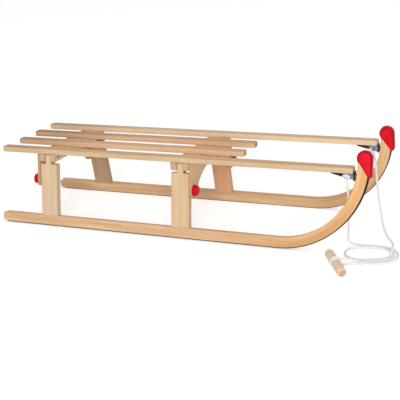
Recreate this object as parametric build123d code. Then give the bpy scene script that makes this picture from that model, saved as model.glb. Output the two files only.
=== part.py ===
from build123d import *
import os
from math import cos, pi, radians, sin, sqrt, tan

# Folding wooden sled: four slats on two crossbeams, and two runner frames hinged below them.
# Each frame is a bent runner with its steel band, a cap and two legs, and swings outward about
# one line through its two leg pins and its horn bolt.
# Millimetres. X runs forward to the horns, Y to the left, Z up. The origin is on the floor,
# under the middle of the sled. The right side is the one at negative Y.

# Overall sizes
overall_length = 1102.0  # tail of the runners to the front of the caps
seat_height = 224.5  # floor to the top of the slats
lean_angle = 9.8  # the frames' lean, wider at the floor

# Slats
slat_width = 29.0
slat_thickness = 14.0
slat_pitch = 86.0
slat_corner_radius = 8.0  # seen from above
slat_edge_radius = 1.5
slat_setback = 8.0  # tail of the runners to the rear ends of the slats
inner_slat_length = 725.0

# Crossbeams, with a slot in each end for the leg's tongue
beam_width = 53.5
beam_depth = 22.0
rear_beam_station = 134.6  # tail of the runners to the beam's rear face
front_beam_station = 552.7
beam_edge_radius = 1.5
slot_side_gap = 0.75
slot_end_gap = 2.0

# Arched bridge boards on the outer faces of the crossbeams
board_thickness = 10.0
arch_crown_drop = 27.6  # slats' undersides to the top of the arch
arch_radius = 170.7
arch_shoulder_y = 93.5  # where the wide arc passes into the tighter one
arch_shoulder_radius = 61.3
lobe_drop = 96.0  # slats' undersides to the bottoms of the lobes
lobe_corner_radius = 8.0

# Legs
leg_shoulder_drop = 20.5  # hinge line to the shoulder, along the leg
leg_side_gap = 1.0  # leg to the bridge board that it swings past
leg_edge_radius = 1.5
tongue_width = 18.5

# Hinge pins, and the bolts at the horns
pin_diameter = 8.0
pin_clearance = 0.05  # radial, in every bore
horn_bolt_depth = 20.0  # how far it reaches into the horn
horn_collar_diameter = 14.0
horn_collar_length = 2.6
horn_collar_gap = 0.2  # to the horn's curved face

# Runners
runner_width = 20.0
runner_depth = 28.0
horn_rise = 61.9  # hinge line to the top of the wood, along the frame
horn_upright = 26.0  # straight top of the horn, above the quarter bend
runner_corner_radius = 9.0
runner_edge_radius = 2.0

# Steel bands under the runners
band_width = 16.0
band_thickness = 2.0
band_setback = 14.0  # tail of the runner to the band's rear end
band_end_angle = 5.0  # short of the end of the bend, under the cap

# Caps on the horns
cap_rear_lip = 4.3
cap_front_lip = 6.0
cap_crown = 5.7  # above the wood
cap_wall = 3.0  # beside the wood
cap_tip_radius = 6.0
cap_tip_drop = 43.0  # from the centre of the crown down to the centre of the tip
cap_tip_inset = 6.5  # from the front of the cap to the centre of the tip
cap_fit = 0.1
cap_edge_radius = 2.5

# Locking knobs on the bridge boards
knob_rise = 19.5  # bottoms of the lobes up to the knobs
knob_base_diameter = 32.0
knob_face_diameter = 19.0
knob_height = 13.0
knob_stem_diameter = 10.0
knob_edge_radius = 1.5

# Brackets under the front ends of the outer slats
bracket_length = 58.5
bracket_width = 25.0
bracket_plate = 2.2
bracket_web = 2.5
bracket_drop = 21.0  # below the slats
bracket_top_gap = 3.5  # plate's top edge below the slat's top
rope_hole_diameter = 8.0
rope_hole_setback = 17.5  # end of the slat back to the hole
rope_hole_drop = 9.2  # below the slats

# Rope, its knots and the handle on it
rope_diameter = 6.0
rope_floor_gap = 0.2
knot_diameter = 12.0
knot_length = 20.0
knot_gap = 0.2  # to the outer face of the web
eye_gap = 1.5  # web's lower edge to the rope's eye
handle_diameter = 23.0
handle_length = 138.0
handle_end_radius = 10.0
groove_diameter = 9.0
groove_width = 13.6  # room for two turns of the rope
handle_x = 485.4
handle_y = -245.0
handle_turn = -60.2  # direction of the handle on the floor, from X

# Places worked out from the sizes
tail_x = -overall_length / 2
slat_rear_x = tail_x + slat_setback
slat_bottom = seat_height - slat_thickness
beam_bottom = slat_bottom - beam_depth
lobe_bottom = slat_bottom - lobe_drop
beam_length = 3 * slat_pitch + slat_width
hinge_y = 1.5 * slat_pitch
hinge_z = slat_bottom - beam_depth / 2
frame_drop = (hinge_z - band_width / 2 * sin(radians(lean_angle))) / cos(radians(lean_angle))
band_bottom = -frame_drop
runner_bottom = band_bottom + band_thickness
runner_top = runner_bottom + runner_depth
bend_z = horn_rise - horn_upright
horn_bend_radius = bend_z - runner_bottom
horn_inner_radius = horn_bend_radius - runner_depth
bend_x = overall_length / 2 - cap_front_lip - band_thickness - horn_bend_radius
horn_rear_x = bend_x + horn_inner_radius
collar_end_x = bend_x + sqrt(horn_inner_radius**2 - (bend_z + horn_collar_diameter / 2) ** 2) - horn_collar_gap
plate_front_x = collar_end_x - horn_collar_length
outer_slat_end_x = plate_front_x - bracket_plate
bolt_end_x = bend_x + sqrt(horn_inner_radius**2 - bend_z**2) + horn_bolt_depth
knob_drop = (hinge_z - lobe_bottom - knob_rise) / cos(radians(lean_angle))
pin_bore_radius = pin_diameter / 2 + pin_clearance
rope_radius = rope_diameter / 2
floor_z = rope_radius + rope_floor_gap

# Each beam's rear face, and the side that its bridge board is on
beams = {
    "rear": (tail_x + rear_beam_station, -1),
    "front": (tail_x + front_beam_station, 1),
}
sides = {"right": -1, "left": 1}

os.makedirs("parts", exist_ok=True)


def save(name, piece):
    """Write one piece to its own file."""
    export_step(piece, f"parts/{name}.step")


def on_side(piece, side):
    """A piece modelled for the left side, or its mirror image on the right."""
    return piece if side > 0 else mirror(piece, about=Plane.XZ)


def on_frame(piece, side):
    """Lean a piece of the left frame, drawn upright about the hinge line, and set it in place."""
    leaning = Pos(0, hinge_y, hinge_z) * Rot(lean_angle, 0, 0) * piece
    return on_side(leaning, side)


def block(x_range, y_range, z_range):
    """A box between two values on each axis."""
    low = Vector(x_range[0], y_range[0], z_range[0])
    high = Vector(x_range[1], y_range[1], z_range[1])
    size = high - low
    centre = (low + high) * 0.5
    return Pos(centre.X, centre.Y, centre.Z) * Box(size.X, size.Y, size.Z)


def rod(diameter, x_start, x_end):
    """A cylinder along X, on the X axis."""
    return Pos(x_start, 0, 0) * Rot(0, 90, 0) * Cylinder(
        diameter / 2, x_end - x_start, align=(Align.CENTER, Align.CENTER, Align.MIN)
    )


def slat(x_start, x_end, y):
    """One slat, rounded at its corners and broken at its edges."""
    length = x_end - x_start
    plan = RectangleRounded(length, slat_width, slat_corner_radius)
    board = extrude(plan, amount=slat_thickness)
    board = fillet(board.edges().filter_by(Plane.XY), slat_edge_radius)
    return Pos((x_start + x_end) / 2, y, slat_bottom) * board


def crossbeam(x_rear):
    """A beam with an open slot and a pin bore in each end."""
    beam = block(
        (x_rear, x_rear + beam_width),
        (-beam_length / 2, beam_length / 2),
        (beam_bottom, slat_bottom),
    )
    beam = fillet(beam.edges().filter_by(Axis.Y), beam_edge_radius)
    middle_x = x_rear + beam_width / 2
    half_slot = tongue_width / 2 + slot_side_gap
    slot_end_y = hinge_y - runner_width / 2 - slot_end_gap
    for side in sides.values():
        slot = block(
            (middle_x - half_slot, middle_x + half_slot),
            (slot_end_y, beam_length),
            (beam_bottom - 1, slat_bottom + 1),
        )
        bore = Pos(0, hinge_y, hinge_z) * rod(2 * pin_bore_radius, x_rear - 1, x_rear + beam_width + 1)
        beam -= on_side(slot, side)
        beam -= on_side(bore, side)
    return beam


def bridge_board(x_rear, board_side):
    """An arched board that carries the knobs, with its ends flush with the legs."""
    x_start = x_rear - board_thickness if board_side < 0 else x_rear + beam_width
    lean = tan(radians(lean_angle))
    face_offset = runner_width / 2 / cos(radians(lean_angle))
    top_y = hinge_y + face_offset - (slat_bottom - hinge_z) * lean
    low_y = hinge_y + face_offset + (hinge_z - lobe_bottom) * lean
    crown_z = slat_bottom - arch_crown_drop
    arch_z = crown_z - arch_radius
    shoulder_z = arch_z + sqrt(arch_radius**2 - arch_shoulder_y**2)
    share = arch_shoulder_radius / arch_radius
    inner_y = arch_shoulder_y * (1 - share)
    inner_z = shoulder_z - (shoulder_z - arch_z) * share
    foot_y = inner_y + sqrt(arch_shoulder_radius**2 - (lobe_bottom - inner_z) ** 2)
    outline = make_face(
        [
            Line((0, slat_bottom), (top_y, slat_bottom)),
            Line((top_y, slat_bottom), (low_y, lobe_bottom)),
            Line((low_y, lobe_bottom), (foot_y, lobe_bottom)),
            RadiusArc((foot_y, lobe_bottom), (arch_shoulder_y, shoulder_z), -arch_shoulder_radius),
            RadiusArc((arch_shoulder_y, shoulder_z), (0, crown_z), -arch_radius),
            Line((0, crown_z), (0, slat_bottom)),
        ]
    )
    lobe_corners = outline.vertices().sort_by(Axis.Y)[:2]
    outline = fillet(lobe_corners, lobe_corner_radius)
    half = extrude(Plane.YZ.offset(x_start) * outline, amount=board_thickness)
    board = half + mirror(half, about=Plane.XZ)
    for side in sides.values():
        stem_bore = rod(knob_stem_diameter + 2 * pin_clearance, x_start - 1, x_start + board_thickness + 1)
        board -= on_frame(Pos(0, 0, -knob_drop) * stem_bore, side)
    return board


def knob(x_rear, board_side, side):
    """A tapered knob on the outer face of the bridge board, with its stem through the board."""
    profile = make_face(
        [
            Line((0, 0), (knob_base_diameter / 2, 0)),
            Line((knob_base_diameter / 2, 0), (knob_base_diameter / 2, knob_height / 5)),
            Line((knob_base_diameter / 2, knob_height / 5), (knob_face_diameter / 2, knob_height)),
            Line((knob_face_diameter / 2, knob_height), (0, knob_height)),
            Line((0, knob_height), (0, 0)),
        ]
    )
    head = revolve(Plane.XZ * profile, Axis.Z)
    head = fillet(head.edges().group_by(Axis.Z)[-1], knob_edge_radius)
    stem = Pos(0, 0, -board_thickness) * Cylinder(
        knob_stem_diameter / 2, board_thickness, align=(Align.CENTER, Align.CENTER, Align.MIN)
    )
    piece = Rot(0, 90 * board_side, 0) * (head + stem)
    face_x = x_rear - board_thickness if board_side < 0 else x_rear + beam_width + board_thickness
    return on_frame(Pos(face_x, 0, -knob_drop) * piece, side)


def hinge_pin(x_rear, side):
    """A plain pin through the beam's prongs and the leg's tongue, flush with the beam's faces."""
    return on_side(Pos(0, hinge_y, hinge_z) * rod(pin_diameter, x_rear, x_rear + beam_width), side)


def bracket(side):
    """Flange, web with the rope hole, and end plate, as one bent and welded piece."""
    x_start = outer_slat_end_x - bracket_length
    bottom = slat_bottom - bracket_drop
    half_width = bracket_width / 2
    flange = block(
        (x_start, outer_slat_end_x),
        (hinge_y - half_width, hinge_y + half_width),
        (slat_bottom - bracket_plate, slat_bottom),
    )
    plate = block(
        (outer_slat_end_x, plate_front_x),
        (hinge_y - half_width, hinge_y + half_width),
        (bottom, seat_height - bracket_top_gap),
    )
    triangle = make_face(
        Polyline(
            (x_start, slat_bottom - bracket_plate),
            (outer_slat_end_x, bottom),
            (outer_slat_end_x, slat_bottom - bracket_plate),
            close=True,
        )
    )
    web = extrude(Plane.XZ.offset(-hinge_y) * triangle, amount=bracket_web / 2, both=True)
    hole = Pos(outer_slat_end_x - rope_hole_setback, hinge_y, slat_bottom - rope_hole_drop)
    piece = flange + plate + web - hole * Rot(90, 0, 0) * Cylinder(rope_hole_diameter / 2, bracket_width)
    return on_side(piece, side)


def horn_bolt(side):
    """The stud on the bracket's plate that the horn turns on, with its collar."""
    collar = rod(horn_collar_diameter, plate_front_x, collar_end_x)
    shank = rod(pin_diameter, collar_end_x, bolt_end_x)
    return on_side(Pos(0, hinge_y, hinge_z) * (collar + shank), side)


def bent_outline(tail, bottom, depth, outer_radius, end_angle):
    """Outline of a strip along the floor and round the bend, drawn in X and Z."""
    inner_radius = outer_radius - depth
    start_angle = -90
    sweep_angle = 90 - end_angle
    outer = CenterArc((bend_x, bend_z), outer_radius, start_angle, sweep_angle)
    inner = CenterArc((bend_x, bend_z), inner_radius, start_angle, sweep_angle)
    return outer, inner, [
        Line((tail, bottom), outer @ 0),
        Line((tail, bottom + depth), inner @ 0),
        Line((tail, bottom), (tail, bottom + depth)),
    ]


def runner_solid():
    """The runner's wood: a straight foot, the bend and the upright horn."""
    outer, inner, foot = bent_outline(tail_x, runner_bottom, runner_depth, horn_bend_radius, 0)
    outer_top = (bend_x + horn_bend_radius, horn_rise)
    inner_top = (horn_rear_x, horn_rise)
    outline = make_face(
        [outer, inner, *foot, Line(outer @ 1, outer_top), Line(inner @ 1, inner_top), Line(outer_top, inner_top)]
    )
    corners = outline.vertices().sort_by(Axis.X)[:2] + outline.vertices().sort_by(Axis.Y)[-2:]
    outline = fillet(corners, runner_corner_radius)
    return extrude(Plane.XZ * outline, amount=runner_width / 2, both=True)


def runner(side):
    """The runner with its edges broken and the bore for the horn bolt."""
    wood = runner_solid()
    rim = wood.edges().filter_by(lambda edge: abs(abs(edge.center().Y) - runner_width / 2) < 0.01)
    wood = fillet(rim, runner_edge_radius)
    wood -= rod(2 * pin_bore_radius, horn_rear_x - runner_depth, bolt_end_x + 2 * pin_clearance)
    return on_frame(wood, side)


def band_solid(extra=0.0):
    """The steel band, or the room for it when it is drawn larger."""
    outer, inner, foot = bent_outline(
        tail_x + band_setback,
        band_bottom - extra,
        band_thickness + 2 * extra,
        horn_bend_radius + band_thickness + extra,
        band_end_angle,
    )
    outline = make_face([outer, inner, *foot, Line(outer @ 1, inner @ 1)])
    return extrude(Plane.XZ * outline, amount=band_width / 2 + extra, both=True)


def cap(side):
    """The teardrop cap over the top of the horn, hollowed for the wood and the band."""
    rear_x = horn_rear_x - cap_rear_lip
    front_x = overall_length / 2
    crown_radius = (front_x - rear_x) / 2
    crown_z = horn_rise + cap_crown - crown_radius
    crown = Pos(front_x - crown_radius, crown_z) * Circle(crown_radius)
    tip = Pos(front_x - cap_tip_inset, crown_z - cap_tip_drop) * Circle(cap_tip_radius)
    outline = make_hull((crown + tip).edges())
    shell = extrude(Plane.XZ * outline, amount=runner_width / 2 + cap_wall, both=True)
    shell = fillet(
        shell.edges().filter_by(lambda edge: abs(abs(edge.center().Y) - runner_width / 2 - cap_wall) < 0.01),
        cap_edge_radius,
    )
    room = offset(runner_solid(), amount=cap_fit, kind=Kind.INTERSECTION)
    return on_frame(shell - room - band_solid(cap_fit), side)


def leg(x_rear, board_side, side):
    """A leg that stands on the runner, with a rounded tongue about the pin."""
    x_start = x_rear + (leg_side_gap if board_side < 0 else 0)
    x_end = x_rear + beam_width - (leg_side_gap if board_side > 0 else 0)
    middle_x = x_rear + beam_width / 2
    half = runner_width / 2
    post = block((x_start, x_end), (-half, half), (runner_top, -leg_shoulder_drop))
    post = fillet(post.edges().filter_by(Axis.Z), leg_edge_radius)
    neck = block(
        (middle_x - tongue_width / 2, middle_x + tongue_width / 2),
        (-half, half),
        (-leg_shoulder_drop, 0),
    )
    knuckle = rod(runner_width, middle_x - tongue_width / 2, middle_x + tongue_width / 2)
    bore = rod(2 * pin_bore_radius, x_rear, x_rear + beam_width)
    return on_frame(post + neck + knuckle - bore, side)


def handle():
    """The wooden pull handle, lying on the floor with the rope's groove round its middle."""
    dowel = Cylinder(handle_diameter / 2, handle_length)
    dowel = fillet(dowel.edges(), handle_end_radius)
    ring = Cylinder(handle_diameter, groove_width) - Cylinder(groove_diameter / 2, groove_width)
    lying = Rot(0, 90, 0) * (dowel - ring)
    return Pos(handle_x, handle_y, handle_diameter / 2) * Rot(0, 0, handle_turn) * lying


def knot(side):
    """The rope's eye through the bracket's web, and its knot on the outer face of the web."""
    hole_x = outer_slat_end_x - rope_hole_setback
    hole_z = slat_bottom - rope_hole_drop
    web_slope = (bracket_drop - bracket_plate) / bracket_length
    web_low = slat_bottom - bracket_plate - (bracket_length - rope_hole_setback) * web_slope
    low_z = web_low - rope_radius - eye_gap
    eye_radius = (hole_z - low_z) / 2
    eye = Pos(hole_x, hinge_y, (hole_z + low_z) / 2) * Rot(0, 90, 0) * Torus(eye_radius, rope_radius)
    knot_radius = knot_diameter / 2
    half_straight = knot_length / 2 - knot_radius
    lump = rod(knot_diameter, -half_straight, half_straight)
    for end_x in (-half_straight, half_straight):
        lump += Pos(end_x, 0, 0) * Sphere(knot_radius)
    knot_y = hinge_y + bracket_web / 2 + knot_gap + knot_radius
    return on_side(eye + Pos(hole_x, knot_y, hole_z) * lump, side)


# Rope from the right knot down and once past the top of the loop to the handle, then from the
# handle's groove all round the loop, over both strands and up to the left knot, in that order
groove_rise = handle_diameter - floor_z
rope_route = [
    (486.0, -136.5, 201.3),
    (486.3, -135.5, 179.0),
    (487.0, -130.0, 153.0),
    (486.5, -121.0, 122.0),
    (485.0, -112.0, 90.0),
    (482.0, -102.0, 52.0),
    (479.0, -94.0, 26.0),
    (480.5, -90.5, 11.5),
    (490.0, -91.5, floor_z),
    (502.5, -95.0, floor_z),
    (515.0, -97.0, floor_z),
    (528.0, -96.0, floor_z),
    (541.0, -94.3, floor_z),
    (554.0, -93.3, floor_z),
    (567.0, -94.0, floor_z),
    (580.0, -97.0, floor_z),
    (592.0, -102.3, floor_z),
    (603.0, -110.5, floor_z),
    (612.0, -122.5, floor_z),
    (618.0, -138.0, floor_z),
    (620.5, -155.0, floor_z),
    (617.5, -172.8, floor_z),
    (609.0, -188.0, floor_z),
    (596.5, -199.5, floor_z),
    (581.7, -208.0, floor_z),
    (565.4, -213.5, floor_z),
    (550.0, -217.0, floor_z),
    (535.0, -219.5, floor_z),
    (520.5, -223.0, floor_z),
    (506.8, -228.9, floor_z),
    (476.6, -246.2, floor_z),
    (476.6, -246.2, groove_rise),
    (506.8, -228.9, 18.0),
    (518.0, -218.5, 13.0),
    (529.5, -211.0, 6.5),
    (543.0, -206.5, floor_z),
    (557.0, -201.5, floor_z),
    (571.0, -195.5, floor_z),
    (584.5, -188.5, floor_z),
    (596.5, -179.5, floor_z),
    (605.5, -168.0, floor_z),
    (610.0, -154.5, floor_z),
    (608.5, -140.5, floor_z),
    (602.0, -127.5, floor_z),
    (592.0, -117.0, floor_z),
    (579.5, -109.8, floor_z),
    (564.5, -106.5, floor_z),
    (548.5, -106.0, floor_z),
    (532.5, -108.0, floor_z),
    (517.0, -111.5, floor_z),
    (502.5, -117.0, floor_z),
    (491.5, -126.5, floor_z),
    (486.0, -139.5, floor_z),
    (485.5, -155.0, floor_z),
    (489.5, -169.5, floor_z),
    (498.0, -182.0, floor_z),
    (509.5, -190.5, floor_z),
    (523.0, -193.5, floor_z),
    (537.5, -191.0, floor_z),
    (553.0, -186.0, floor_z),
    (568.5, -180.0, floor_z),
    (583.0, -173.0, floor_z),
    (594.5, -164.0, floor_z),
    (599.5, -152.5, floor_z),
    (598.7, -142.5, 8.0),
    (596.3, -129.5, 15.4),
    (593.0, -109.0, 15.8),
    (589.5, -92.0, 15.8),
    (581.5, -73.0, 16.6),
    (569.0, -46.0, 19.6),
    (553.5, -12.0, 29.0),
    (537.3, 30.0, 49.0),
    (522.6, 64.0, 73.0),
    (511.5, 91.0, 103.5),
    (503.0, 112.0, 136.0),
    (496.5, 125.5, 163.0),
    (491.0, 134.5, 183.0),
    (489.0, 136.5, 201.3),
]


def rope():
    """The rope as straight runs joined by arcs as wide as the runs allow."""
    points = [Vector(*point) for point in rope_route]
    runs = [after - before for before, after in zip(points, points[1:])]
    radii = []
    for before, after in zip(runs, runs[1:]):
        half_turn = radians(before.get_angle(after)) / 2
        radii.append(0.45 * min(before.length, after.length) / tan(half_turn))
    path = FilletPolyline(*points, radius=radii)
    tube = sweep(Plane(origin=path @ 0, z_dir=path % 0) * Circle(rope_radius), path=path)
    expected = pi * rope_radius**2 * path.length
    print("rope radii", [round(radius, 1) for radius in radii])
    print("rope runs", [round(run.length, 1) for run in runs])
    print("rope length", round(path.length, 1), "volume share", round(tube.volume / expected, 5))
    return tube


# Seat: slats, crossbeams, bridge boards and their hardware
inner_slat_end_x = slat_rear_x + inner_slat_length
save("slat_outer_right", slat(slat_rear_x, outer_slat_end_x, -1.5 * slat_pitch))
save("slat_inner_right", slat(slat_rear_x, inner_slat_end_x, -0.5 * slat_pitch))
save("slat_inner_left", slat(slat_rear_x, inner_slat_end_x, 0.5 * slat_pitch))
save("slat_outer_left", slat(slat_rear_x, outer_slat_end_x, 1.5 * slat_pitch))
for place, (beam_x, board_side) in beams.items():
    save(f"crossbeam_{place}", crossbeam(beam_x))
    save(f"bridge_board_{place}", bridge_board(beam_x, board_side))
    for name, side in sides.items():
        save(f"knob_{place}_{name}", knob(beam_x, board_side, side))
        save(f"hinge_pin_{place}_{name}", hinge_pin(beam_x, side))
        save(f"leg_{place}_{name}", leg(beam_x, board_side, side))

# Frames and what joins them at the horns
for name, side in sides.items():
    save(f"horn_bracket_{name}", bracket(side))
    save(f"horn_bolt_{name}", horn_bolt(side))
    save(f"runner_{name}", runner(side))
    save(f"runner_band_{name}", on_frame(band_solid(), side))
    save(f"horn_cap_{name}", cap(side))
    save(f"rope_knot_{name}", knot(side))

# Rope and handle
save("tow_rope", rope())
save("pull_handle", handle())
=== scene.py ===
from math import cos, floor, pi, radians, sin, tau
import bmesh
import bpy
from mathutils import Matrix, Vector


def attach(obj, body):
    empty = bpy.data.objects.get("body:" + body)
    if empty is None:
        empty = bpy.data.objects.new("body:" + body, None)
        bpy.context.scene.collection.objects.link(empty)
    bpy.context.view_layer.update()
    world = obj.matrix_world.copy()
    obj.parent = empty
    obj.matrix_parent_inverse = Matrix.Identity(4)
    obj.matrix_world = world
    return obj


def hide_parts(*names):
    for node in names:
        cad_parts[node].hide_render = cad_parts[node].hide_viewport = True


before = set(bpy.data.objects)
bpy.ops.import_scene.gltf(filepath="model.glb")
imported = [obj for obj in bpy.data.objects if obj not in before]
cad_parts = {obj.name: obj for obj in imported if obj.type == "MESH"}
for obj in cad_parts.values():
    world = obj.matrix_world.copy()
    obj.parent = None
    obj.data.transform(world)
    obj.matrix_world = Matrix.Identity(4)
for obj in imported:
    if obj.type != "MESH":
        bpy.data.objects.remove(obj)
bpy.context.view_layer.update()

# View of the photograph: from the front right and a little above, with the camera rolled a few
# degrees. The numbers come from a fit of the sled's own edges to the picture.
view_azimuth, view_elevation, view_roll = radians(24.72), radians(18.88), radians(-3.8)
view_distance = 2.6708
view_lens = 83.37  # in millimetres
view_aim = Vector((0.01536, 0, 0.05613))
view_nudge = 0.0014  # of the aim, to the right and down in the picture
back = Vector((
    sin(view_azimuth) * cos(view_elevation),
    -cos(view_azimuth) * cos(view_elevation),
    sin(view_elevation),
))
level = Vector((cos(view_azimuth), sin(view_azimuth), 0))
upright = back.cross(level)
right = level * cos(view_roll) + upright * sin(view_roll)
up = upright * cos(view_roll) - level * sin(view_roll)
view_place = view_aim + right * view_nudge - up * view_nudge + back * view_distance
view_turn = Matrix((right, up, back)).transposed().to_4x4()
camera = bpy.data.objects.new("camera", bpy.data.cameras.new("camera"))
camera.data.lens = view_lens
camera.data.clip_end = 60
camera.matrix_world = Matrix.Translation(view_place) @ view_turn
bpy.context.collection.objects.link(camera)
bpy.context.scene.camera = camera
bpy.context.scene.view_settings.view_transform = "Standard"


# Tow rope: a braided white polyester cord, 6 mm thick. It is knotted at each horn bracket, lies in
# loose turns on the floor and carries the pull handle nearer to its right end.
rope_diameter = 0.006
braid_strands = 8  # in each direction
braid_crossing = 0.0028  # along the rope, from one crossing to the next
braid_relief = 0.00035
rope_slack = 0.0032  # height of the rope's middle where it lies on the floor
groove_rise = 0.0198  # and over the handle's groove
rope_route = [
    (0.4860, -0.1365, 0.2013), (0.4880, -0.1355, 0.1790), (0.4888, -0.1300, 0.1530),
    (0.4880, -0.1210, 0.1220), (0.4857, -0.1120, 0.0900), (0.4822, -0.1020, 0.0520),
    (0.4780, -0.0935, 0.0235), (0.4785, -0.0905, 0.0095), (0.4880, -0.0920, rope_slack),
    (0.5025, -0.0950, rope_slack), (0.5150, -0.0970, rope_slack), (0.5280, -0.0960, rope_slack),
    (0.5410, -0.0943, rope_slack), (0.5540, -0.0933, rope_slack), (0.5670, -0.0940, rope_slack),
    (0.5800, -0.0970, rope_slack), (0.5920, -0.1023, rope_slack), (0.6030, -0.1105, rope_slack),
    (0.6120, -0.1225, rope_slack), (0.6180, -0.1380, rope_slack), (0.6205, -0.1550, rope_slack),
    (0.6175, -0.1728, rope_slack), (0.6090, -0.1880, rope_slack), (0.5965, -0.1995, rope_slack),
    (0.5817, -0.2080, rope_slack), (0.5654, -0.2135, rope_slack), (0.5500, -0.2170, rope_slack),
    (0.5350, -0.2195, rope_slack), (0.5205, -0.2230, rope_slack), (0.5068, -0.2289, rope_slack),
    (0.4766, -0.2462, rope_slack), (0.4766, -0.2462, groove_rise), (0.5068, -0.2289, 0.0180),
    (0.5180, -0.2185, 0.0130), (0.5295, -0.2110, 0.0065), (0.5430, -0.2065, rope_slack),
    (0.5570, -0.2015, rope_slack), (0.5710, -0.1955, rope_slack), (0.5845, -0.1885, rope_slack),
    (0.5965, -0.1795, rope_slack), (0.6055, -0.1680, rope_slack), (0.6100, -0.1545, rope_slack),
    (0.6085, -0.1405, rope_slack), (0.6020, -0.1275, rope_slack), (0.5920, -0.1170, rope_slack),
    (0.5795, -0.1098, rope_slack), (0.5645, -0.1065, rope_slack), (0.5485, -0.1060, rope_slack),
    (0.5325, -0.1080, rope_slack), (0.5170, -0.1115, rope_slack), (0.5025, -0.1170, rope_slack),
    (0.4915, -0.1265, rope_slack), (0.4860, -0.1395, rope_slack), (0.4855, -0.1550, rope_slack),
    (0.4895, -0.1695, rope_slack), (0.4980, -0.1820, rope_slack), (0.5095, -0.1905, rope_slack),
    (0.5230, -0.1935, rope_slack), (0.5375, -0.1910, rope_slack), (0.5530, -0.1860, rope_slack),
    (0.5685, -0.1800, rope_slack), (0.5830, -0.1730, rope_slack), (0.5945, -0.1640, rope_slack),
    (0.6012, -0.1530, rope_slack), (0.6015, -0.1425, 0.0080), (0.6015, -0.1290, 0.0154),
    (0.5995, -0.1090, 0.0158), (0.5925, -0.0915, 0.0158), (0.5812, -0.0725, 0.0166),
    (0.5660, -0.0460, 0.0190), (0.5515, -0.0120, 0.0280), (0.5360, 0.0300, 0.0480),
    (0.5222, 0.0640, 0.0725), (0.5118, 0.0910, 0.1035), (0.5038, 0.1120, 0.1360),
    (0.4975, 0.1255, 0.1630), (0.4915, 0.1345, 0.1830), (0.4880, 0.1365, 0.2013),
]


def shown(name, mesh, body, material=None):
    """Show a finished mesh as a piece that rides a body and takes its finish from a slot."""
    piece = bpy.data.objects.new(name, mesh)
    bpy.context.collection.objects.link(piece)
    if material:
        mesh.materials.append(material)
    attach(piece, body)
    return piece


def smooth_line(points):
    """Points along the smooth line that a soft cord takes past the points of its route."""
    curve = bpy.data.curves.new("line", "CURVE")
    curve.dimensions = "3D"
    curve.resolution_u = 16
    spline = curve.splines.new("NURBS")
    spline.points.add(len(points) - 1)
    for point, place in zip(spline.points, points):
        point.co = (*place, 1)
    spline.order_u = 3
    spline.use_endpoint_u = True
    holder = bpy.data.objects.new("line", curve)
    mesh = bpy.data.meshes.new_from_object(holder)
    line = [vertex.co.copy() for vertex in mesh.vertices]
    bpy.data.objects.remove(holder)
    bpy.data.meshes.remove(mesh)
    bpy.data.curves.remove(curve)
    return line


def even_steps(line, step):
    """The line again in equal steps, with its length."""
    reach = [0.0]
    for before, after in zip(line, line[1:]):
        reach.append(reach[-1] + (after - before).length)
    count = max(2, round(reach[-1] / step))
    stations, at = [], 0
    for index in range(count + 1):
        wanted = reach[-1] * index / count
        while at < len(line) - 2 and reach[at + 1] < wanted:
            at += 1
        share = (wanted - reach[at]) / (reach[at + 1] - reach[at])
        stations.append(line[at].lerp(line[at + 1], share))
    return stations, reach[-1]


def braid_height(along, turn):
    """Height of a two-over, two-under braid, from 0 in the gaps to 1 on a strand's back."""
    first = braid_strands * turn + along / braid_crossing
    second = braid_strands * turn - along / braid_crossing
    on_top = first if (floor(first) + floor(second)) % 4 < 2 else second
    across = 2 * (on_top - floor(on_top)) - 1
    return (1 - across * across) ** 0.5


def braided_mesh(name, line, diameter, sides=32, step=0.00075):
    """A closed braided tube rolled from a flat sleeve, its UV map in metres along and turns around."""
    stations, length = even_steps(line, step)
    rows = len(stations) - 1
    sleeve = bmesh.new()
    uv = sleeve.loops.layers.uv.new("UVMap")
    bmesh.ops.create_grid(sleeve, x_segments=rows, y_segments=sides, size=1, calc_uvs=True)
    ahead = (stations[1] - stations[0]).normalized()
    aside = ahead.orthogonal().normalized()
    frames = []
    for index, station in enumerate(stations):
        towards = stations[min(index + 1, rows)] - stations[max(index - 1, 0)]
        turned = ahead.rotation_difference(towards.normalized())
        ahead = towards.normalized()
        aside = turned @ aside
        frames.append((station, aside, ahead.cross(aside)))
    for vertex in sleeve.verts:
        row = round((vertex.co.x + 1) / 2 * rows)
        turn = round((vertex.co.y + 1) / 2 * sides) / sides
        station, one, other = frames[row]
        relief = braid_relief * diameter / rope_diameter
        radius = diameter / 2 - relief * (1 - braid_height(length * row / rows, turn))
        vertex.co = station + radius * (one * cos(tau * turn) + other * sin(tau * turn))
    for face in sleeve.faces:
        face.smooth = True
        for loop in face.loops:
            loop[uv].uv.x *= length
    bmesh.ops.remove_doubles(sleeve, verts=sleeve.verts, dist=1e-6)
    rims = [edge for edge in sleeve.edges if edge.is_boundary]
    bmesh.ops.holes_fill(sleeve, edges=rims, sides=0)
    bmesh.ops.recalc_face_normals(sleeve, faces=sleeve.faces)
    mesh = bpy.data.meshes.new(name)
    sleeve.to_mesh(mesh)
    sleeve.free()
    return mesh


def put(tree, socket, value):
    """Give a socket a value, or another node's output."""
    if isinstance(value, bpy.types.NodeSocket):
        tree.links.new(value, socket)
    else:
        socket.default_value = value


def node(tree, kind, inputs=None, **settings):
    """A shader node with its settings, and its inputs by name or place."""
    made = tree.nodes.new("ShaderNode" + kind)
    for setting, value in settings.items():
        setattr(made, setting, value)
    for label, value in (inputs or {}).items():
        put(tree, made.inputs[label], value)
    return made


def maths(tree, operation, *values):
    """One step of arithmetic on shader values."""
    return node(tree, "Math", dict(enumerate(values)), operation=operation).outputs[0]


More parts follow.
